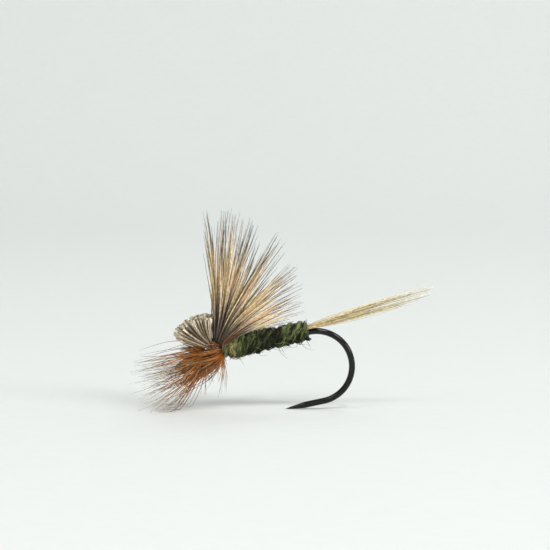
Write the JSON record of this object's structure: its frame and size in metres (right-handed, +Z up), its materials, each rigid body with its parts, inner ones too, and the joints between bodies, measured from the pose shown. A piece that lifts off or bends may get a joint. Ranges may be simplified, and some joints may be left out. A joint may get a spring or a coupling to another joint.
{
  "type": "dry fly",
  "caption": "Trout dry fly on a down-eyed hook, with a dubbed olive body, an upright deer hair wing with clipped butts, ginger hackle and a pale fibre tail.",
  "frame": {"origin": "centre of the hook eye's hole", "axes": "+X backwards from the eye to the tail, +Z up as the fly stands on its hackle and its hook point, +Y to the far side; the shank is pitched 12 degrees nose down"},
  "size_m": [0.024, 0.0108, 0.0158],
  "materials": {
    "hook_steel": "black nickel, glossy",
    "thread_silk": "dark brown waxed tying thread, flat wound, slight sheen",
    "dubbing_olive": "dark olive fur dubbing, matt and fuzzy",
    "dubbing_yellow_olive": "yellow olive fur dubbing, matt and fuzzy",
    "deer_hair": "deer hair: grey-brown root, tan bar and dark tip, satin",
    "deer_hair_cut": "grey-tan clipped deer hair butts, pale at the cut ends",
    "ginger_hackle": "orange-brown hackle barbs, glossy, paler at the tips",
    "tail_hackle": "pale gold hackle fibres, glossy",
    "head_varnish": "clear amber head varnish"
  },
  "bodies": {
    "root": {"hook_shank": "hook_steel", "hook_bend": "hook_steel", "thread_underbody": "thread_silk", "tail_lashing": "thread_silk", "tail_fibres": "tail_hackle", "abdomen_dubbing": "dubbing_olive", "abdomen_thread": "thread_silk", "thorax_dubbing": "dubbing_yellow_olive", "thorax_thread": "thread_silk", "dubbing_guard_hairs": "dubbing_olive", "wing_lashing": "thread_silk", "wing_hair_near": "deer_hair", "wing_hair_centre": "deer_hair", "wing_hair_far": "deer_hair", "wing_butts_near": "deer_hair_cut", "wing_butts_centre": "deer_hair_cut", "wing_butts_far": "deer_hair_cut", "hackle_stem": "ginger_hackle", "hackle_barbs_lower": "ginger_hackle", "hackle_barbs_near": "ginger_hackle", "hackle_barbs_far": "ginger_hackle", "hackle_barbs_rear": "ginger_hackle", "hackle_lashing": "thread_silk", "head_wraps": "thread_silk", "whip_finish": "thread_silk", "head_cement": "head_varnish"}
  },
  "joints": []
}
